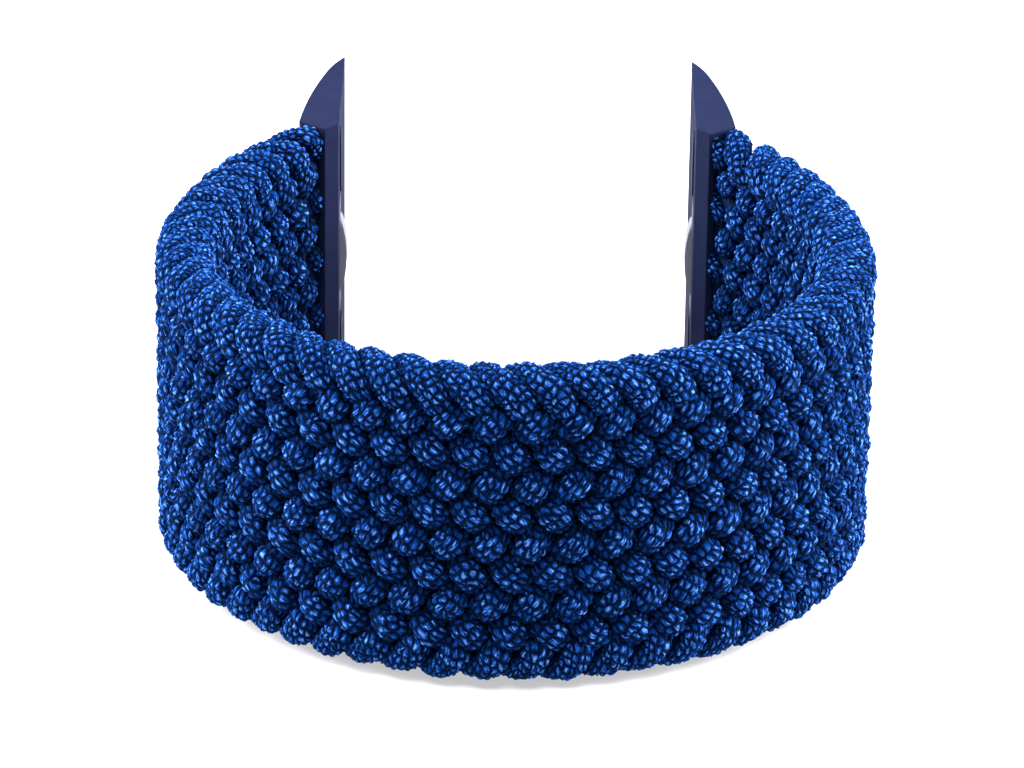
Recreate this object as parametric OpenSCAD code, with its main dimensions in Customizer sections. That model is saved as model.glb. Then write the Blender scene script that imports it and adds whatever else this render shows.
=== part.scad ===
// Braided stretch watch strap: one endless-looking band of eleven stretch cords, closed by the watch itself.
// It stands on its edge. +Z is across the band, -Y is the front of the loop, +Y the side of the two lugs.

/* [Band] */
// Width of the braid, edge to edge
band_w = 22; // [20:0.5:24]
// Thickness of the braid
band_t = 4; // [3.6:0.1:4.4]
// Mid-line radius of the front of the loop
loop_r = 22.4; // [21.4:0.2:24.4]
// Mid-line radius of the flatter stretch before each lug
rear_r = 33.4; // [31.4:0.2:35.4]
// Number of stretch cords in the braid
cord_count = 11; // [9:1:13]
// Radius of the elastic core inside each cord
core_r = 0.35; // [0.25:0.05:0.45]

/* [Flex] */
// Heading of the band at the front flex line, in degrees from the front
front_flex = 35; // [30:1:40]
// Heading of the band at the rear flex line, in degrees from the front
rear_flex = 98; // [96:1:100]
// Running gap between two stretches of braid
flex_gap = 0.15; // [0.12:0.01:0.18]

/* [Lug] */
// Overhang of the lug past each edge of the braid
lug_over = 0.3; // [0.1:0.1:0.8]
// Lug thickness from the wrist face to the mouth's mid-line
lug_in = 2.4; // [2.3:0.05:2.6]
// Radius of the lug's long outer curve
lug_curve_r = 60; // [54:1:80]
// Radius of the lug's tip curve
lug_tip_r = 12; // [11:0.5:14]

/* [Latch] */
// Length of the latch head across the band
latch_len = 6; // [5:0.1:6.4]
// Width of the latch head
latch_wid = 1.8; // [1.6:0.1:2]
// How far the latch head stands out of the lug
latch_proud = 0.5; // [0.3:0.05:0.5]
// Length of each elastomer pad
pad_len = 5; // [4:0.1:5.2]

/* [Hidden] */
$fn = 96;
band_z = lug_over;
lug_w = band_w + 2 * lug_over;
mid_z = lug_w / 2;

// The loop's plan: one round arc, then a flatter one that runs on from it, the same on both sides.
rear_end = 129;
quarter = 90;
function polar(a) = [cos(a), sin(a)];
function arc_end(c, r, heading) = c + r * polar(heading - quarter);
function rear_centre(c) = c + (loop_r - rear_r) * polar(rear_flex - quarter);
function mouth_of(c) = arc_end(rear_centre(c), rear_r, rear_end);

// Lug profile, seen along the band's width.
mouth_out = 0.5;
mouth_in = 1.9;
curve_start = 4;
curve_end = 14;
curve_facets = 480;
function lug_corner(c) = mouth_of(c) + mouth_out * polar(rear_end - quarter);
function curve_centre(c) = lug_corner(c) - lug_curve_r * polar(curve_start);
function tip_centre(c) = curve_centre(c) + (lug_curve_r - lug_tip_r) * polar(curve_end);
function face_of(c) = mouth_of(c)[0] - lug_in;
function tip_y_of(c) = tip_centre(c)[1] + sqrt(pow(lug_tip_r, 2) - pow(face_of(c) - tip_centre(c)[0], 2));

// The plan is moved in Y so that the origin lies under the middle of the whole strap.
front_reach = loop_r + band_t / 2;
c1 = [0, (front_reach - tip_y_of([0, 0])) / 2];
c2 = rear_centre(c1);
mouth = mouth_of(c1);
face_x = face_of(c1);
tip_y = tip_y_of(c1);
curve_c = curve_centre(c1);
tip_c = tip_centre(c1);
curve_end_y = (curve_c + lug_curve_r * polar(curve_end))[1];
big = 4 * lug_tip_r;

// Flex lines
socket_r = band_t / 2 + flex_gap;
core_margin = 0.3;
core_fit = 0.03;
core_edge = 1.3;
front_socket_turn = (socket_r + core_margin) / loop_r * 180 / PI;
rear_socket_turn = (socket_r + core_margin) / rear_r * 180 / PI;
front_hinge = arc_end(c1, loop_r, front_flex);
rear_hinge = arc_end(c1, loop_r, rear_flex);
knuckle_step = 0.04;
knuckle_r = band_t / 2 - knuckle_step;

// Braid end and its anchor in the lug
fit = 0.05;
taper_len = 3;
anchor_t = 1.2;
anchor_off = -0.6;
anchor_tail = 1.5;
anchor_bead_r = 0.75;
anchor_bead_in = 1.2;
anchor_short = 1.4;
core_stop = (anchor_tail + core_margin) / rear_r * 180 / PI;

// Latch, its frame and springs, measured from the wrist face into the lug
latch_from_mouth = 3.7;
latch_y = mouth[1] + latch_from_mouth;
frame_t = 0.4;
frame_h = 2.8;
frame_over = 1.2;
frame_len = latch_len + 2 * frame_over;
flange_gap = 0.03;
flange_t = 0.35;
flange_h = latch_wid + 0.3;
flange_over = 0.45;
flange_len = latch_len + 2 * flange_over;
cavity_h = flange_h + 2 * fit;
cavity_len = flange_len + 2 * fit;
cavity_in = 1.9;
head_dome_r = 10;
post_r = 0.35;
post_len = 0.42;
spring_at = 2.2;
spring_r = 0.62;
wire_r = 0.1;
spring_turns = 3;
spring_gap = 0.02;
spring_x0 = frame_t + flange_gap + flange_t + wire_r + spring_gap;
spring_len = cavity_in - spring_x0 - wire_r - spring_gap;
coil_steps = 20;
wire_sides = 8;

// Elastomer pads
pad_h = 1.7;
pad_in = 0.5;
pad_proud = 0.12;
pad_gap = 0.5;
pad_off = frame_len / 2 + pad_gap + pad_len / 2;

blue = [0.10, 0.22, 0.50];
core_white = [0.85, 0.85, 0.82];
lug_blue = [0.17, 0.20, 0.38];
pad_blue = [0.13, 0.16, 0.32];
steel = [0.72, 0.73, 0.75];
dark_steel = [0.45, 0.46, 0.48];

// Shared shapes

// Cross-section of the braid: flat faces and round rims.
module band_profile() {
  translate([-band_t / 2, band_t / 2]) square([band_t, band_w - band_t]);
  translate([0, band_t / 2]) circle(r = band_t / 2);
  translate([0, band_w - band_t / 2]) circle(r = band_t / 2);
}

// Cross-section of the elastic cores, one in each cord.
module core_profile(r) {
  pitch = (band_w - 2 * core_edge) / (cord_count - 1);
  for (i = [0 : cord_count - 1]) translate([0, core_edge + i * pitch]) circle(r = r);
}

// A profile swept round part of the loop, between two headings.
module sweep(c, r, from, to) {
  translate([c[0], c[1], band_z])
    rotate([0, 0, from - quarter])
      rotate_extrude(angle = to - from) translate([r, 0]) children();
}

// Rounded end of a stretch of braid, between its two round rims.
module knuckle(at) {
  translate([at[0], at[1], band_z + band_t / 2]) cylinder(r = knuckle_r, h = band_w - band_t);
}

// Room for the neighbour's rounded end.
module socket(at) {
  translate([at[0], at[1], -band_w]) cylinder(r = socket_r, h = 3 * band_w);
}

// Things placed at the mouth of the lug: x is outward, y runs into the lug.
module at_mouth() {
  translate([mouth[0], mouth[1], 0]) rotate([0, 0, rear_end - quarter]) children();
}

// Things placed on the wrist face of the lug: x runs into the lug.
module at_face(dz) {
  translate([face_x, latch_y, mid_z + dz]) children();
}

// A flat bar with round ends that runs across the band.
module stadium(len, wid, from, to) {
  run = len - wid;
  translate([from, 0, 0])
    rotate([0, quarter, 0])
      linear_extrude(to - from) {
        square([run, wid], center = true);
        translate([-run / 2, 0]) circle(r = wid / 2);
        translate([run / 2, 0]) circle(r = wid / 2);
      }
}

// A plain block on the wrist face, centred across and along the latch.
module block(from, to, high, long) {
  translate([from, -high / 2, -long / 2]) cube([to - from, high, long]);
}

// The braid

module braid_front() {
  color(blue) difference() {
    union() {
      sweep(c1, loop_r, -front_flex, front_flex) band_profile();
      knuckle(front_hinge);
      knuckle([-front_hinge[0], front_hinge[1]]);
    }
    sweep(c1, loop_r, -front_flex, front_flex) core_profile(core_r + core_fit);
  }
}

module cores_front() {
  color(core_white) sweep(c1, loop_r, -front_flex, front_flex) core_profile(core_r);
}

module braid_right_side() {
  from = front_flex + front_socket_turn;
  color(blue) difference() {
    union() {
      sweep(c1, loop_r, front_flex, rear_flex) band_profile();
      knuckle(rear_hinge);
    }
    socket(front_hinge);
    sweep(c1, loop_r, from, rear_flex) core_profile(core_r + core_fit);
  }
}

module cores_right_side() {
  from = front_flex + front_socket_turn;
  color(core_white) sweep(c1, loop_r, from, rear_flex) core_profile(core_r);
}

module braid_left_side() {
  mirror([1, 0, 0]) braid_right_side();
}

module cores_left_side() {
  mirror([1, 0, 0]) cores_right_side();
}

// What is taken off the last stretch, so that it narrows to the mouth of the lug.
module mouth_taper() {
  half = band_t / 2;
  at_mouth() linear_extrude(lug_w) {
    polygon([[half, -taper_len], [mouth_out, 0], [mouth_out, band_t], [band_t, band_t], [band_t, -taper_len]]);
    polygon([[-half, -taper_len], [-mouth_in, 0], [-mouth_in, band_t], [-band_t, band_t], [-band_t, -taper_len]]);
    translate([-band_t, -fit]) square([2 * band_t, band_t]);
  }
}

module braid_right_end() {
  from = rear_flex + rear_socket_turn;
  color(blue) difference() {
    sweep(c2, rear_r, rear_flex, rear_end) band_profile();
    socket(rear_hinge);
    mouth_taper();
    sweep(c2, rear_r, from, rear_end - core_stop) core_profile(core_r + core_fit);
    anchor_shape(fit);
  }
}

module cores_right_end() {
  from = rear_flex + rear_socket_turn;
  color(core_white) sweep(c2, rear_r, from, rear_end - core_stop) core_profile(core_r);
}

module braid_left_end() {
  mirror([1, 0, 0]) braid_right_end();
}

module cores_left_end() {
  mirror([1, 0, 0]) cores_right_end();
}

// The lug

// The end of the braid, melted into one strip with a bead along its edge.
module anchor_shape(extra) {
  low = band_z + anchor_short - extra;
  high = band_w - 2 * anchor_short + 2 * extra;
  wide = anchor_t + 2 * extra;
  at_mouth() {
    translate([anchor_off - wide / 2, -anchor_tail - extra, low])
      cube([wide, anchor_tail + anchor_bead_in + extra, high]);
    translate([anchor_off, anchor_bead_in, low]) cylinder(r = anchor_bead_r + extra, h = high);
  }
}

module right_end_anchor() {
  color(pad_blue) anchor_shape(0);
}

// The fin-shaped outside of the lug, before anything is cut out of it.
module lug_blank() {
  intersection() {
    union() {
      intersection() {
        translate([curve_c[0], curve_c[1], 0]) cylinder(r = lug_curve_r, h = lug_w, $fn = curve_facets);
        translate([face_x, mouth[1] - big, 0]) cube([big, curve_end_y - mouth[1] + big, lug_w]);
      }
      intersection() {
        translate([tip_c[0], tip_c[1], 0]) cylinder(r = lug_tip_r, h = lug_w, $fn = curve_facets);
        translate([face_x, curve_end_y, 0]) cube([big, big, lug_w]);
      }
    }
    at_mouth() translate([-mouth_in, 0, 0]) cube([2 * big, 2 * big, lug_w]);
  }
}

module right_lug_body() {
  color(lug_blue) difference() {
    lug_blank();
    anchor_shape(fit);
    at_face(0) block(-1, frame_t, frame_h, frame_len);
    at_face(0) block(0, cavity_in, cavity_h, cavity_len);
    at_face(pad_off) stadium(pad_len, pad_h, -1, pad_in);
    at_face(-pad_off) stadium(pad_len, pad_h, -1, pad_in);
  }
}

// Thin steel frame that holds the latch in; pressed into its recess.
module right_latch_frame() {
  color(dark_steel) at_face(0) difference() {
    block(0, frame_t, frame_h - 2 * core_fit, frame_len - 2 * core_fit);
    stadium(latch_len + 2 * fit, latch_wid + 2 * fit, -1, 1);
  }
}

// Sprung latch: domed head, flange behind the frame, and a post in each spring.
module right_latch() {
  back = frame_t + flange_gap;
  color(steel) at_face(0) {
    intersection() {
      stadium(latch_len, latch_wid, -latch_proud, back + flange_t);
      translate([head_dome_r - latch_proud, latch_wid, 0])
        rotate([quarter, 0, 0]) cylinder(r = head_dome_r, h = 2 * latch_wid);
    }
    block(back, back + flange_t, flange_h, flange_len);
    for (s = [-1, 1]) {
      translate([back, 0, s * spring_at])
        rotate([0, quarter, 0]) cylinder(r = post_r, h = flange_t + post_len);
    }
  }
}

// Coil spring along X, as a swept round wire.
module coil() {
  steps = spring_turns * coil_steps;
  points = [
    for (i = [0 : steps], j = [0 : wire_sides - 1])
      let (a = i * 360 / coil_steps, b = j * 360 / wire_sides, r = spring_r + wire_r * cos(b))
        [i * spring_len / steps + wire_r * sin(b), r * cos(a), r * sin(a)]
  ];
  walls = [
    for (i = [0 : steps - 1], j = [0 : wire_sides - 1])
      let (k = (j + 1) % wire_sides, p = i * wire_sides, q = p + wire_sides)
        [p + j, p + k, q + k, q + j]
  ];
  first = [for (j = [wire_sides - 1 : -1 : 0]) j];
  last = [for (j = [0 : wire_sides - 1]) steps * wire_sides + j];
  polyhedron(points = points, faces = concat(walls, [first, last]), convexity = 8);
}

module right_latch_spring_upper() {
  color(steel) at_face(spring_at) translate([spring_x0, 0, 0]) coil();
}

module right_latch_spring_lower() {
  color(steel) at_face(-spring_at) translate([spring_x0, 0, 0]) coil();
}

// Elastomer pads that take up the play in the watch's slot.
module right_pad_upper() {
  color(pad_blue) at_face(pad_off) stadium(pad_len - 2 * fit, pad_h - 2 * fit, -pad_proud, pad_in);
}

module right_pad_lower() {
  color(pad_blue) at_face(-pad_off) stadium(pad_len - 2 * fit, pad_h - 2 * fit, -pad_proud, pad_in);
}

// The left lug is the mirror image of the right one.
module left_end_anchor() {
  mirror([1, 0, 0]) right_end_anchor();
}

module left_lug_body() {
  mirror([1, 0, 0]) right_lug_body();
}

module left_latch_frame() {
  mirror([1, 0, 0]) right_latch_frame();
}

module left_latch() {
  mirror([1, 0, 0]) right_latch();
}

module left_latch_spring_upper() {
  mirror([1, 0, 0]) right_latch_spring_upper();
}

module left_latch_spring_lower() {
  mirror([1, 0, 0]) right_latch_spring_lower();
}

module left_pad_upper() {
  mirror([1, 0, 0]) right_pad_upper();
}

module left_pad_lower() {
  mirror([1, 0, 0]) right_pad_lower();
}

braid_front();
cores_front();
braid_right_side();
cores_right_side();
braid_left_side();
cores_left_side();
braid_right_end();
cores_right_end();
braid_left_end();
cores_left_end();
right_end_anchor();
right_lug_body();
right_latch_frame();
right_latch();
right_latch_spring_upper();
right_latch_spring_lower();
right_pad_upper();
right_pad_lower();
left_end_anchor();
left_lug_body();
left_latch_frame();
left_latch();
left_latch_spring_upper();
left_latch_spring_lower();
left_pad_upper();
left_pad_lower();
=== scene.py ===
import math

import bmesh
import bpy
import numpy as np
from mathutils import Matrix, Vector


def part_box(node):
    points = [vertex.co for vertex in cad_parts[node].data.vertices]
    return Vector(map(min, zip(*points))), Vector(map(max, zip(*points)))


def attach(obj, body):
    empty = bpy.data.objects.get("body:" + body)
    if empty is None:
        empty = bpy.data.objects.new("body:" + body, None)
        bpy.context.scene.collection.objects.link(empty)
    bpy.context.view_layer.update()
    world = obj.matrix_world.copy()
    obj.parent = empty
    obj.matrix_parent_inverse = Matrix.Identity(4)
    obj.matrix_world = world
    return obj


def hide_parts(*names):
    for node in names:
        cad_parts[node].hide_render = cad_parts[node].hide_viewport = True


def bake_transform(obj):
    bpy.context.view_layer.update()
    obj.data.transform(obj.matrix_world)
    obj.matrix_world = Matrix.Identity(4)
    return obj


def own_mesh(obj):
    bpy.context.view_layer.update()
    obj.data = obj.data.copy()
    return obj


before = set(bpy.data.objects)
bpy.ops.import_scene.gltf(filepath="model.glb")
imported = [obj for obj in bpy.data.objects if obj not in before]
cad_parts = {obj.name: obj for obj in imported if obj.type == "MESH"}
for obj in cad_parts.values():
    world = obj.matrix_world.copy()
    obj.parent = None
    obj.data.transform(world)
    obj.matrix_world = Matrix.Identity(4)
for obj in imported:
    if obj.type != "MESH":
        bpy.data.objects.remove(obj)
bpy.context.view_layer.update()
MM = 0.001

# The braid: eleven stretch cords in one flat plait, each a knitted polyester tube over an elastic thread.
# Every cord runs from rim to rim, over one neighbour and under the next, turns round the rim and runs back.
# Its pieces meet at the middle of each stretch, so that each one spans a single flex line.

# The band's mid-line has a round front and sides, and a flatter rear that ends at the mouths of the lugs.
# Lengths are in millimetres, and a run is a distance along the band from the middle of its front.
LOOP_R = 22.4
REAR_R = 33.4
LOOP_CENTRE_Y = -4.3277
BRAID_MID_Z = 11.3
FRONT_FLEX = math.radians(35)
REAR_FLEX = math.radians(98)
MOUTH = math.radians(129)
REAR_CENTRE = (
    (LOOP_R - REAR_R) * math.sin(REAR_FLEX),
    LOOP_CENTRE_Y - (LOOP_R - REAR_R) * math.cos(REAR_FLEX),
)
FRONT_RUN = LOOP_R * FRONT_FLEX
LOOP_RUN = LOOP_R * REAR_FLEX
MOUTH_RUN = LOOP_RUN + REAR_R * (MOUTH - REAR_FLEX)
SIDE_SPLIT = (FRONT_RUN + LOOP_RUN) / 2
INTO_LUG = 0.4
TIP_RUN = MOUTH_RUN + INTO_LUG
BLEND_REACH = 8.0

# Along the plait a cord moves by half a pitch for each row that it climbs or drops, and turns at the rims.
CORDS = 11
PITCH = 2.56
HALF_PITCH = PITCH / 2
LAY_START = -0.68
ROW = 2.12
SLANT = 0.42
TOP_TURN = -0.5
BOTTOM_TURN = CORDS + TOP_TURN
RIM_TOP = 10.17
RIM_STEPS = 2
RIM_SLIDE = 0.35
# The least crown of the rim cords, which keeps them lit in the yarn's painted shade.
RIM_CROWN = 0.88
SLIDE_REACH = 1.5
ROLL_REACH = 1.2
WEAVE_DEPTH = 1.12
CROWN = 1.3

# No cord lies quite straight: each sways along the band and lifts across it by a little.
UNEVEN = 0.06
SWAY_WAVE = 1.9
SWAY_SHIFT = 2.3
LIFT_WAVE = 1.3
LIFT_SHIFT = 1.1

# Where the braid goes into a lug its cords are thinner, lie flatter and nearer the wrist, and the upper ones
# stand a little higher.
NECK_LENGTH = 3.0
NECK_RISE = 0.085
NECK_FLATTER = 0.6
NECK_INWARD = 0.62
NECK_THINNER = 0.2

# Each piece of a cord reaches a lap past the cut, and thins a little towards the tip of it.
LAP = 0.25
LAP_THINNER = 0.12
CORD_STEP = 0.13
ROUTE_POINTS = 16001

# Each cord takes its knit from its own place along the pattern, so that no two cords look the same.
KNITS_APART = 400.0


def ease(x):
    x = np.clip(x, 0, 1)
    return x * x * (3 - 2 * x)


def loop_at(run):
    """Mid-line of the braid, and its outward normal, at these distances from the front in mm."""
    away = np.abs(run)
    front = np.minimum(away, LOOP_RUN) / LOOP_R
    rear = REAR_FLEX + (away - LOOP_RUN) / REAR_R
    on_loop = away <= LOOP_RUN
    turn = np.where(on_loop, front, rear)
    radius = np.where(on_loop, LOOP_R, REAR_R)
    cx = np.where(on_loop, 0.0, REAR_CENTRE[0])
    cy = np.where(on_loop, LOOP_CENTRE_Y, REAR_CENTRE[1])
    side = np.where(run < 0, -1.0, 1.0)
    out = np.stack([side * np.sin(turn), -np.cos(turn), np.zeros_like(run)], 1)
    mid = np.stack([side * (cx + radius * np.sin(turn)), cy - radius * np.cos(turn), np.zeros_like(run)], 1)
    return mid, out


def height_at(steps):
    """Height of a cord above the middle of the braid, this many rows from the rim it last turned at."""
    even = ROW * (CORDS / 2 - steps + SLANT * np.sin(math.tau * steps) / math.tau)
    u = np.clip(steps / RIM_STEPS, 0, 1)
    joins_at = ROW * (CORDS / 2 - RIM_STEPS)
    joins_slope = -ROW * (1 - SLANT) * RIM_STEPS
    turn = RIM_TOP + (joins_at - RIM_TOP) * (3 * u**2 - 2 * u**3) + joins_slope * (u**3 - u**2)
    return np.where(steps < RIM_STEPS, turn, even)


def rows_past(step, turn):
    """Rows that a cord has gone since its turn at a rim, or has still to go to it, as a negative number."""
    return np.mod(step - turn + CORDS, 2 * CORDS) - CORDS


def cord_at(cord, run):
    """One cord at these runs: its centre-line, the way its flat side faces, its girth and its crests."""
    step = np.mod((run - LAY_START) / HALF_PITCH - 2 * cord, 2 * CORDS)
    past_top = rows_past(step, TOP_TURN)
    past_bottom = rows_past(step, BOTTOM_TURN)
    from_top = np.abs(past_top)
    from_bottom = CORDS - from_top
    height = np.where(from_bottom < RIM_STEPS, -height_at(from_bottom), height_at(from_top))
    going_down = np.mod(step - TOP_TURN, 2 * CORDS) < CORDS
    wave = np.where(going_down, -1.0, 1.0) * np.cos(math.pi * from_top)
    roll = np.where(going_down, 0.0, 1.0)
    slide = np.zeros_like(run)
    for past, roll_before in ((past_top, 1.0), (past_bottom, 0.0)):
        away = np.abs(past)
        turned = ease((past + ROLL_REACH) / (2 * ROLL_REACH))
        wave = np.where(away < 1, np.sin(past * math.pi / 2), wave)
        roll = np.where(away < ROLL_REACH, np.abs(roll_before - turned), roll)
        slide = np.where(away < SLIDE_REACH, RIM_SLIDE * np.sin(math.pi * past / SLIDE_REACH), slide)
    depth = WEAVE_DEPTH * np.tanh(CROWN * wave) / math.tanh(CROWN)
    slide += UNEVEN * np.sin(SWAY_WAVE * run + SWAY_SHIFT * cord)
    height += UNEVEN * np.sin(LIFT_WAVE * run + LIFT_SHIFT * cord)
    neck = ease((np.abs(run) - (MOUTH_RUN - NECK_LENGTH)) / NECK_LENGTH)
    mid, out = loop_at(run + slide * (1 - neck))
    up = np.array([0.0, 0.0, 1.0])
    offset = depth * (1 - NECK_FLATTER * neck) - NECK_INWARD * neck
    height += NECK_RISE * neck * np.maximum(height, 0)
    line = mid + out * offset[:, None] + up * (BRAID_MID_Z + height)[:, None]
    facing = out * np.cos(roll * math.pi)[:, None] + up * np.sin(roll * math.pi)[:, None]
    # The crown goes only to the yarn's painted shade and highlight; the rim cords keep at least RIM_CROWN of
    # it, so that they stay lit.
    crown = np.abs(wave)
    crown = np.where(np.minimum(from_top, from_bottom) < 1, np.maximum(crown, RIM_CROWN), crown)
    girth = 1 - NECK_THINNER * neck
    return line, facing, girth, crown


def cord_paths(name, cords, start, end, step):
    """A mesh of open lines, one for each cord, with what the sweep needs to know at each point."""
    points, edges = [], []
    carried = {"facing": [], "girth": [], "crown": [], "run": []}
    whole = np.linspace(-TIP_RUN, TIP_RUN, ROUTE_POINTS)
    low = start - LAP if start > -TIP_RUN else start
    high = end + LAP if end < TIP_RUN else end
    for cord in cords:
        line = cord_at(cord, whole)[0]
        length = np.concatenate([[0], np.cumsum(np.linalg.norm(np.diff(line, axis=0), axis=1))])
        first_length, last_length = np.interp((low, high), whole, length)
        count = int(round((last_length - first_length) / step)) + 1
        along_cord = np.linspace(first_length, last_length, count)
        run = np.interp(along_cord, length, whole)
        line, facing, girth, crown = cord_at(cord, run)
        beyond = np.maximum(np.maximum(start - run, run - end), 0) / LAP
        girth = girth * (1 - LAP_THINNER * beyond**2)
        along = np.gradient(line, axis=0)
        along /= np.linalg.norm(along, axis=1)[:, None]
        facing -= (facing * along).sum(1)[:, None] * along
        facing /= np.linalg.norm(facing, axis=1)[:, None]
        first = sum(len(p) for p in points)
        points.append(line * MM)
        edges += [(first + i, first + i + 1) for i in range(count - 1)]
        for key, values in zip(carried, (facing, girth, crown, along_cord + KNITS_APART * cord)):
            carried[key].append(values)
    mesh = bpy.data.meshes.new(name)
    mesh.from_pydata(np.concatenate(points).tolist(), edges, [])
    for key, rows in carried.items():
        data = np.concatenate(rows).astype(np.float32)
        kind, field = ("FLOAT_VECTOR", "vector") if data.ndim == 2 else ("FLOAT", "value")
        mesh.attributes.new(key, kind, "POINT").data.foreach_set(field, data.ravel())
    return mesh


def feed(tree, node, inputs):
    """Gives a node its inputs; each may be a value or another node's output."""
    for key, value in inputs.items():
        if isinstance(value, bpy.types.NodeSocket):
            tree.links.new(value, node.inputs[key])
        else:
            node.inputs[key].default_value = value


def joined(tree, kind, inputs=None, **settings):
    """A new node with its settings and inputs given."""
    node = tree.nodes.new(kind)
    for key, value in settings.items():
        setattr(node, key, value)
    feed(tree, node, inputs or {})
    return node


def maths(tree, operation, *values):
    """The result of one sum on values or other nodes' outputs."""
    return joined(tree, "ShaderNodeMath", dict(enumerate(values)), operation=operation).outputs[0]


# The knit: nubs in rows round the cord, which lean as the tube twists, over slow lumps of the yarn itself.
CORD_WIDTH = 2.14
CORD_THICKNESS = 1.7
CORD_SIDES = 36
NUBS_ROUND = 12
NUB_ROWS = 2.5
NUB_LEAN = 0.3
NUB_DRIFT = (0.8, 0.8, 0.0)
NUB_UNEVEN = 0.6
NUB_EDGE = 0.36
NUB_RISE = 0.19
NUB_SINK = 0.6
LUMP_RISE = 0.35
LUMP_SEED = 3


def knit_nubs(tree, yarn):
    """Height of the knit's nubs, which sit in rows round the cord: 0 in the creases, 1 on the crowns."""
    place = joined(tree, "ShaderNodeSeparateXYZ", {"Vector": yarn}).outputs
    turn = maths(tree, "ARCTAN2", place[2], place[1])
    row = maths(tree, "MULTIPLY", place[0], NUB_ROWS)
    lean = maths(tree, "MULTIPLY", row, NUB_LEAN)
    column = maths(tree, "MULTIPLY_ADD", turn, NUBS_ROUND / math.tau, lean)
    cell = joined(tree, "ShaderNodeCombineXYZ", {"X": row, "Y": column}).outputs[0]
    drift = joined(tree, "ShaderNodeTexNoise", {"Vector": yarn, "Scale": 2.2, "Detail": 1.0}).outputs["Color"]
    cell = joined(
        tree, "ShaderNodeVectorMath", {0: drift, 1: NUB_DRIFT, 2: cell}, operation="MULTIPLY_ADD"
    ).outputs[0]
    crease = joined(
        tree,
        "ShaderNodeTexVoronoi",
        {"Vector": cell, "Scale": 1.0, "Randomness": NUB_UNEVEN},
        voronoi_dimensions="2D",
        feature="DISTANCE_TO_EDGE",
    ).outputs["Distance"]
    return joined(
        tree, "ShaderNodeMapRange", {"Value": crease, "From Max": NUB_EDGE}, interpolation_type="SMOOTHSTEP"
    ).outputs[0]


def cord_sweep():
    """Sweeps an oval cord along each line, lays the knit's coordinates on it and raises the knit's nubs."""
    tree = bpy.data.node_groups.new("cord sweep", "GeometryNodeTree")
    face = tree.interface
    face.new_socket("Lines", in_out="INPUT", socket_type="NodeSocketGeometry")
    for label, kind, value in (
        ("Width", "NodeSocketFloat", CORD_WIDTH * MM),
        ("Thickness", "NodeSocketFloat", CORD_THICKNESS * MM),
        ("Nub rise", "NodeSocketFloat", NUB_RISE * MM),
        ("Lump rise", "NodeSocketFloat", LUMP_RISE * MM),
        ("Sides", "NodeSocketInt", CORD_SIDES),
        ("Seed", "NodeSocketInt", LUMP_SEED),
    ):
        face.new_socket(label, in_out="INPUT", socket_type=kind).default_value = value
    face.new_socket("Finish", in_out="INPUT", socket_type="NodeSocketMaterial")
    face.new_socket("Cords", in_out="OUTPUT", socket_type="NodeSocketGeometry")
    given = tree.nodes.new("NodeGroupInput").outputs

    def field(label, kind):
        found = joined(tree, "GeometryNodeInputNamedAttribute", {"Name": label}, data_type=kind)
        return found.outputs["Attribute"]

    def kept(geometry, label, value):
        return joined(
            tree,
            "GeometryNodeStoreNamedAttribute",
            {"Geometry": geometry, "Name": label, "Value": value},
            data_type="FLOAT_VECTOR",
            domain="POINT",
        ).outputs[0]

    lines = joined(tree, "GeometryNodeMeshToCurve", {"Mesh": given["Lines"]}).outputs[0]
    facing = field("facing", "FLOAT_VECTOR")
    lines = joined(
        tree, "GeometryNodeSetCurveNormal", {"Curve": lines, "Normal": facing}, mode="FREE"
    ).outputs[0]
    circle = {"Resolution": given["Sides"], "Radius": 1.0}
    ring = joined(tree, "GeometryNodeCurvePrimitiveCircle", circle).outputs[0]
    ring = kept(ring, "lay", tree.nodes.new("GeometryNodeInputPosition").outputs[0])
    half_thickness = maths(tree, "MULTIPLY", given["Thickness"], 0.5)
    half_width = maths(tree, "MULTIPLY", given["Width"], 0.5)
    half = joined(tree, "ShaderNodeCombineXYZ", {"X": half_thickness, "Y": half_width, "Z": 1.0}).outputs[0]
    ring = joined(tree, "GeometryNodeTransform", {"Geometry": ring, "Scale": half}).outputs[0]
    cords = joined(
        tree,
        "GeometryNodeCurveToMesh",
        {"Curve": lines, "Profile Curve": ring, "Scale": field("girth", "FLOAT"), "Fill Caps": True},
    ).outputs[0]
    lay = joined(tree, "ShaderNodeSeparateXYZ", {"Vector": field("lay", "FLOAT_VECTOR")}).outputs
    along = field("run", "FLOAT")
    yarn = joined(tree, "ShaderNodeCombineXYZ", {"X": along, "Y": lay[0], "Z": lay[1]}).outputs[0]
    cords = kept(cords, "yarn", yarn)
    nubs = maths(tree, "SUBTRACT", knit_nubs(tree, field("yarn", "FLOAT_VECTOR")), NUB_SINK)
    nubs = maths(tree, "MULTIPLY", nubs, given["Nub rise"])
    lumps = joined(
        tree,
        "ShaderNodeTexNoise",
        {"Vector": field("yarn", "FLOAT_VECTOR"), "W": given["Seed"], "Scale": 1.1, "Detail": 1.0},
        noise_dimensions="4D",
    ).outputs["Fac"]
    lumps = maths(tree, "MULTIPLY", maths(tree, "SUBTRACT", lumps, 0.5), given["Lump rise"])
    normal = tree.nodes.new("GeometryNodeInputNormal").outputs[0]
    rise = maths(tree, "ADD", nubs, lumps)
    rise = joined(tree, "ShaderNodeVectorMath", {0: normal, "Scale": rise}, operation="SCALE").outputs[0]
    cords = joined(tree, "GeometryNodeSetPosition", {"Geometry": cords, "Offset": rise}).outputs[0]
    cords = joined(tree, "GeometryNodeSetShadeSmooth", {"Geometry": cords, "Shade Smooth": True}).outputs[0]
    cords = joined(tree, "GeometryNodeRealizeInstances", {"Geometry": cords}).outputs[0]
    dressed = {"Geometry": cords, "Material": given["Finish"]}
    cords = joined(tree, "GeometryNodeSetMaterial", dressed).outputs[0]
    result = tree.nodes.new("NodeGroupOutput")
    tree.links.new(cords, result.inputs[0])
    return tree


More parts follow.
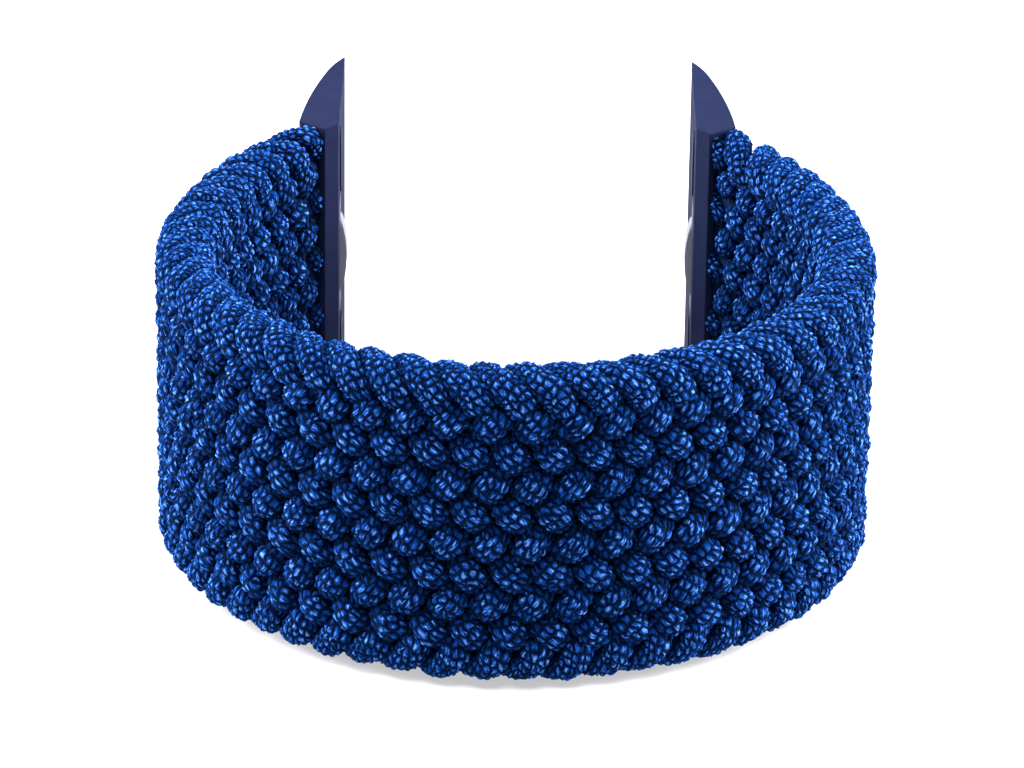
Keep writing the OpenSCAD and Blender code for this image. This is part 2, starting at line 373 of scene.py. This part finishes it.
def swept(name, lines, tree, finish, **sizes):
    """Runs the sweep on a set of lines and keeps its result as a plain mesh."""
    maker = bpy.data.objects.new(name + " lines", lines)
    bpy.context.scene.collection.objects.link(maker)
    sweep = maker.modifiers.new("sweep", "NODES")
    sweep.node_group = tree
    sockets = {item.name: item.identifier for item in tree.interface.items_tree if item.in_out == "INPUT"}
    sweep[sockets["Finish"]] = finish
    for label, value in sizes.items():
        sweep[sockets[label.replace("_", " ")]] = value
    bpy.context.view_layer.update()
    done = maker.evaluated_get(bpy.context.evaluated_depsgraph_get())
    mesh = bpy.data.meshes.new_from_object(done)
    bpy.data.objects.remove(maker)
    mesh.name = name
    piece = bpy.data.objects.new(name, mesh)
    bpy.context.scene.collection.objects.link(piece)
    return piece


def stretches(side, solid, tip):
    """The two stretches of one half of the band: name, runs, bodies, run of the flex line and CAD solids."""
    middle, end = side + "_side", side + "_end"
    return (
        ("front", 0.0, SIDE_SPLIT, ("front", middle), FRONT_RUN, (f"{solid}_front", f"{solid}_{middle}")),
        ("rear", SIDE_SPLIT, tip, (middle, end), LOOP_RUN, (f"{solid}_{end}",)),
    )


def flex_ends(sign, flex_run):
    """The two points of the mid-line a blend's reach to either side of a flex line, in mm, on one side of the
    band.
    """
    ends, _ = loop_at(np.array([sign * (flex_run - BLEND_REACH), sign * (flex_run + BLEND_REACH)]))
    ends[:, 2] = BRAID_MID_Z
    return ends


def shading(name):
    """A new material, its node tree and its main shader."""
    material = bpy.data.materials.new(name)
    material.use_nodes = True
    return material, material.node_tree, material.node_tree.nodes["Principled BSDF"]


def ramp(tree, factor, stops):
    """Colour that goes through these stops with the factor."""
    node = joined(tree, "ShaderNodeValToRGB", {"Fac": factor})
    elements = node.color_ramp.elements
    for index, (position, colour) in ((0, stops[0]), (1, stops[-1])):
        elements[index].position = position
        elements[index].color = (*colour, 1)
    for position, colour in stops[1:-1]:
        elements.new(position).color = (*colour, 1)
    return node.outputs["Color"]


# Yarn: small nubs of fine polyester fibre, whose streaks are longer along the cord than round it, with almost
# no shine.
# Its colour has painted shade, nearly black in the creases, where a cord dives and on the cords' edges, and a
# pale painted highlight on the crowns.
yarn_finish, tree, shader = shading("blue yarn")
yarn = joined(tree, "ShaderNodeAttribute", attribute_name="yarn").outputs["Vector"]
# The fibre streaks both raise the bump and lighten the colour as pale painted highlights.
FIBRE_WAVES = (5.0, 13.0, 13.0)
fibres_and_glints = joined(tree, "ShaderNodeVectorMath", {0: yarn, 1: FIBRE_WAVES}, operation="MULTIPLY").outputs[0]
wisps = {"Vector": fibres_and_glints, "Scale": 1.0, "Detail": 2.0, "Distortion": 0.8}
fibres_and_glints = joined(tree, "ShaderNodeTexNoise", wisps)
fibres_and_glints = joined(
    tree,
    "ShaderNodeMapRange",
    {"Value": fibres_and_glints.outputs["Fac"], "From Min": 0.34, "From Max": 0.68, "To Min": 0.3, "To Max": 1.0},
    interpolation_type="SMOOTHSTEP",
).outputs[0]
nubs = knit_nubs(tree, yarn)
# Painted shade: the crown darkens the colour where a cord dives under its neighbour.
crown = joined(tree, "ShaderNodeAttribute", attribute_name="crown").outputs["Fac"]
painted_dive_shade = {"Value": crown, "From Min": 0.35, "From Max": 0.95, "To Min": 0.04}
crown = joined(tree, "ShaderNodeMapRange", painted_dive_shade).outputs[0]
# Painted shade: the colour darkens towards the cord's edges, where the gaps between neighbouring bumps are.
flat = joined(tree, "ShaderNodeSeparateXYZ", {"Vector": yarn}).outputs[1]
flat = maths(tree, "ABSOLUTE", flat)
flat = joined(tree, "ShaderNodeMapRange", {"Value": flat, "From Max": 0.6, "To Min": 0.15}).outputs[0]
# Painted shade: the nubs' height darkens the colour in the creases between the nubs.
shade = maths(tree, "MULTIPLY", nubs, fibres_and_glints)
for part in (crown, flat):
    shade = maths(tree, "MULTIPLY", shade, part)
# The ramp runs from a near-black painted shade, through the yarn's own blue, to a pale painted highlight.
colour = ramp(
    tree,
    shade,
    (
        (0.03, (0.0001, 0.0015, 0.012)),
        (0.30, (0.0003, 0.018, 0.125)),
        (0.61, (0.002, 0.060, 0.340)),
        (0.90, (0.115, 0.290, 0.740)),
    ),
)
FIBRE_RELIEF = 0.4
relief = maths(tree, "MULTIPLY_ADD", fibres_and_glints, FIBRE_RELIEF, nubs)
bump = joined(tree, "ShaderNodeBump", {"Height": relief, "Strength": 1.0, "Distance": 0.15 * MM})
feed(
    tree,
    shader,
    {
        "Base Color": colour,
        "Normal": bump.outputs["Normal"],
        "Roughness": 0.85,
        "Specular IOR Level": 0.02,
        "Sheen Weight": 0.06,
        "Sheen Roughness": 0.5,
        "Sheen Tint": (0.14, 0.5, 1.0, 1),
    },
)

sweep_tree = cord_sweep()
halves = (("right", 1), ("left", -1))
for side, sign in halves:
    for part, first, last, bodies, flex_run, solids in stretches(side, "braid", TIP_RUN):
        low, high = sorted((sign * first, sign * last))
        ends = flex_ends(sign, flex_run)
        for group, cords in (("a", range(0, 4)), ("b", range(4, 8)), ("c", range(8, CORDS))):
            name = f"cords_{side}_{part}_{group}"
            lines = cord_paths(name + "_lines", cords, low, high, CORD_STEP)
            piece = swept(name, lines, sweep_tree, yarn_finish)
            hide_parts(*solids)
            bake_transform(piece)

# Elastic threads: what pulls the strap back to length, taken to be a clear silicone thread in every cord.
# They follow the cords' own route at the middle of the tube, and stop short of the lugs.
THREAD_WIDTH = 0.7
THREAD_SIDES = 6
THREAD_STEP = 0.5
THREAD_SHORT = 1.5


def grain_of(tree, scale, detail):
    """Noise that is fixed to the solid, with this many waves to the metre."""
    place = joined(tree, "ShaderNodeTexCoord").outputs["Object"]
    grain = joined(tree, "ShaderNodeTexNoise", {"Vector": place, "Scale": scale, "Detail": detail})
    return grain.outputs["Fac"]


def two_tone(tree, pattern, dark, light):
    """Colour that goes from one tone to a close one with a pattern."""
    return ramp(tree, pattern, ((0.3, dark), (0.7, light)))


thread_finish, tree, shader = shading("clear silicone")
milk = two_tone(tree, grain_of(tree, 900.0, 2.0), (0.70, 0.72, 0.74), (0.86, 0.87, 0.88))
feed(tree, shader, {"Base Color": milk, "Roughness": 0.3})
for side, sign in halves:
    for part, first, last, bodies, flex_run, solids in stretches(side, "cores", MOUTH_RUN - THREAD_SHORT):
        low, high = sorted((sign * first, sign * last))
        ends = flex_ends(sign, flex_run)
        name = f"elastic_threads_{side}_{part}"
        lines = cord_paths(name + "_lines", range(CORDS), low, high, THREAD_STEP)
        piece = swept(
            name,
            lines,
            sweep_tree,
            thread_finish,
            Width=THREAD_WIDTH * MM,
            Thickness=THREAD_WIDTH * MM,
            Nub_rise=0.0,
            Lump_rise=0.0,
            Sides=THREAD_SIDES,
        )
        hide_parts(*solids)
        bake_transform(piece)

# End anchors: at each end of the braid the cords are melted into one strip with a bead.
# The lug is moulded over the bead, which keeps the braid from pulling out.


def dress(finish, *names):
    """Gives carried-over solids their finish."""
    for name in names:
        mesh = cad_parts[name].data
        mesh.materials.clear()
        mesh.materials.append(finish)


anchor_finish, tree, shader = shading("melted braid end")
melt = two_tone(tree, grain_of(tree, 2500.0, 3.0), (0.002, 0.007, 0.030), (0.004, 0.014, 0.055))
feed(tree, shader, {"Base Color": melt, "Roughness": 0.8, "Specular IOR Level": 0.05})
for side, _ in halves:
    dress(anchor_finish, side + "_end_anchor")

# Lugs: hard fins of blue moulded plastic with a fine matt grain, one over each end of the braid.
# Their edges are eased a little, and they slide into the watch's slots from the side.
lug_finish, tree, shader = shading("lug plastic")
grain = grain_of(tree, 9000.0, 3.0)
cloud = grain_of(tree, 350.0, 2.0)
soft_edge = joined(tree, "ShaderNodeBevel", {"Radius": 0.18 * MM}, samples=6).outputs[0]
matt = {"Height": grain, "Strength": 0.25, "Distance": 0.02 * MM, "Normal": soft_edge}
feed(
    tree,
    shader,
    {
        "Base Color": two_tone(tree, cloud, (0.0058, 0.0090, 0.031), (0.0074, 0.0112, 0.038)),
        "Normal": joined(tree, "ShaderNodeBump", matt).outputs["Normal"],
        "Roughness": joined(
            tree, "ShaderNodeMapRange", {"Value": grain, "To Min": 0.8, "To Max": 0.92}
        ).outputs[0],
        "Specular IOR Level": 0.05,
    },
)
for side, _ in halves:
    dress(lug_finish, side + "_lug_body")

# Latches: a domed head of brushed steel on a flange, with a post for each spring.
# Each sits in the wrist face of its lug, where a thin frame holds the flange in.
steel_finish, tree, shader = shading("brushed steel")
BRUSH_PER_M = (30000.0, 30000.0, 1500.0)
place = joined(tree, "ShaderNodeTexCoord").outputs["Object"]
brush = joined(tree, "ShaderNodeVectorMath", {0: place, 1: BRUSH_PER_M}, operation="MULTIPLY").outputs[0]
brush = joined(tree, "ShaderNodeTexNoise", {"Vector": brush, "Scale": 1.0, "Detail": 2.0}).outputs["Fac"]
feed(
    tree,
    shader,
    {
        "Base Color": two_tone(tree, brush, (0.20, 0.21, 0.25), (0.28, 0.29, 0.34)),
        "Normal": joined(tree, "ShaderNodeBevel", {"Radius": 0.08 * MM}, samples=6).outputs[0],
        "Roughness": joined(
            tree, "ShaderNodeMapRange", {"Value": brush, "To Min": 0.6, "To Max": 0.75}
        ).outputs[0],
        "Metallic": 0.8,
    },
)
for side, _ in halves:
    dress(steel_finish, side + "_latch")

# Latch springs: three turns of fine steel wire round each post, between the latch's flange and the lug.
# They push the latch out, and shorten as it is pressed in.
WELD = 0.001
for side, sign in halves:
    for level in ("upper", "lower"):
        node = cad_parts[f"{side}_latch_spring_{level}"]
        wire = node.data.copy()
        wire.transform(node.matrix_world)
        turns = bmesh.new()
        turns.from_mesh(wire)
        bmesh.ops.remove_doubles(turns, verts=turns.verts, dist=WELD * MM)
        turns.to_mesh(wire)
        turns.free()
        wire.shade_smooth()
        wire.materials.clear()
        wire.materials.append(steel_finish)
        coil = bpy.data.objects.new(f"{side}_coil_{level}", wire)
        bpy.context.scene.collection.objects.link(coil)
        low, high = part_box(node.name)
        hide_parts(node.name)
        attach(coil, side + "_end")
        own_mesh(coil)

# Latch frames: a thin steel plate round each latch, seated in a recess of the lug.
# It is blued dark, so that only the latch shows against the lug.
blued_finish, tree, shader = shading("blued steel")
blueing = two_tone(tree, grain_of(tree, 7000.0, 2.0), (0.018, 0.020, 0.055), (0.030, 0.034, 0.085))
feed(tree, shader, {"Base Color": blueing, "Roughness": 0.6, "Metallic": 0.6})
for side, _ in halves:
    dress(blued_finish, side + "_latch_frame")

# Pads: small soft pills of rubber above and below each latch, seated in pockets of the lug.
# They take up the play between the lug and the watch's slot.
pad_finish, tree, shader = shading("pad rubber")
feed(
    tree,
    shader,
    {
        "Base Color": two_tone(
            tree, grain_of(tree, 6000.0, 2.0), (0.016, 0.019, 0.052), (0.022, 0.026, 0.066)
        ),
        "Normal": joined(tree, "ShaderNodeBevel", {"Radius": 0.1 * MM}, samples=6).outputs[0],
        "Roughness": 0.8,
        "Specular IOR Level": 0.12,
    },
)
for side, _ in halves:
    dress(pad_finish, side + "_pad_upper", side + "_pad_lower")

# Floor: a plain white sheet that takes the strap's soft shadow.
# It is lit a little from within, as a light table is.
FLOOR_HALF = 1.5
CORNERS = ((-1, -1), (1, -1), (1, 1), (-1, 1))
floor_mesh = bpy.data.meshes.new("floor")
floor_mesh.from_pydata([(x * FLOOR_HALF, y * FLOOR_HALF, 0) for x, y in CORNERS], [], [(0, 1, 2, 3)])
floor = bpy.data.objects.new("floor", floor_mesh)
bpy.context.scene.collection.objects.link(floor)
floor_finish, tree, shader = shading("white sheet")
feed(
    tree,
    shader,
    {
        "Base Color": (0.42, 0.42, 0.43, 1),
        "Roughness": 0.8,
        "Emission Color": (1.0, 1.0, 1.0, 1),
        "Emission Strength": 0.5,
    },
)
floor_mesh.materials.append(floor_finish)

# Light: a pale room with a large soft lamp at each side and one above.
# The room is plain white to the camera, in reflections and through clear pieces, and dimmer as a light.
ROOM_LIGHT = 0.34
world = bpy.data.worlds.new("pale room")
bpy.context.scene.world = world
world.use_nodes = True
tree = world.node_tree
rays = joined(tree, "ShaderNodeLightPath").outputs
seen = rays["Is Camera Ray"]
for ray in ("Is Glossy Ray", "Is Transmission Ray"):
    seen = maths(tree, "MAXIMUM", seen, rays[ray])
strength = joined(tree, "ShaderNodeMapRange", {"Value": seen, "To Min": ROOM_LIGHT, "To Max": 1.0}).outputs[0]
feed(tree, tree.nodes["Background"], {"Color": (1, 1, 1, 1), "Strength": strength})


def lamp(name, place, size, watts):
    """A round soft lamp that points at the strap."""
    aim = Vector((0, 0, 0.01))
    data = bpy.data.lights.new(name, "AREA")
    data.shape = "DISK"
    data.size = size
    data.energy = watts
    thing = bpy.data.objects.new(name, data)
    bpy.context.scene.collection.objects.link(thing)
    thing.location = place
    thing.rotation_euler = (aim - Vector(place)).to_track_quat("-Z", "Y").to_euler()


lamp("left light", (-0.45, 0.1, 0.22), size=0.35, watts=9.5)
lamp("right light", (0.45, 0.1, 0.22), size=0.35, watts=9.5)
lamp("top light", (0.0, -0.12, 0.5), size=0.3, watts=3.5)

# Camera: a long lens with a slight roll, looking down on the front of the strap.
# Its place, angles and lens are the ones that make the strap's outline fall where the photograph has it.
CAMERA_PLACE = (-0.000136, -0.34364, 0.16038)
LOOKS_DOWN = 23.73
ROLL = 0.79
camera = bpy.data.objects.new("camera", bpy.data.cameras.new("camera"))
bpy.context.scene.collection.objects.link(camera)
camera.location = CAMERA_PLACE
tilt = Matrix.Rotation(math.radians(90 - LOOKS_DOWN), 3, "X")
camera.rotation_euler = (tilt @ Matrix.Rotation(math.radians(ROLL), 3, "Z")).to_euler()
camera.data.lens = 190.86
camera.data.clip_start = 0.01
bpy.context.scene.camera = camera
bpy.context.scene.view_settings.view_transform = "Standard"
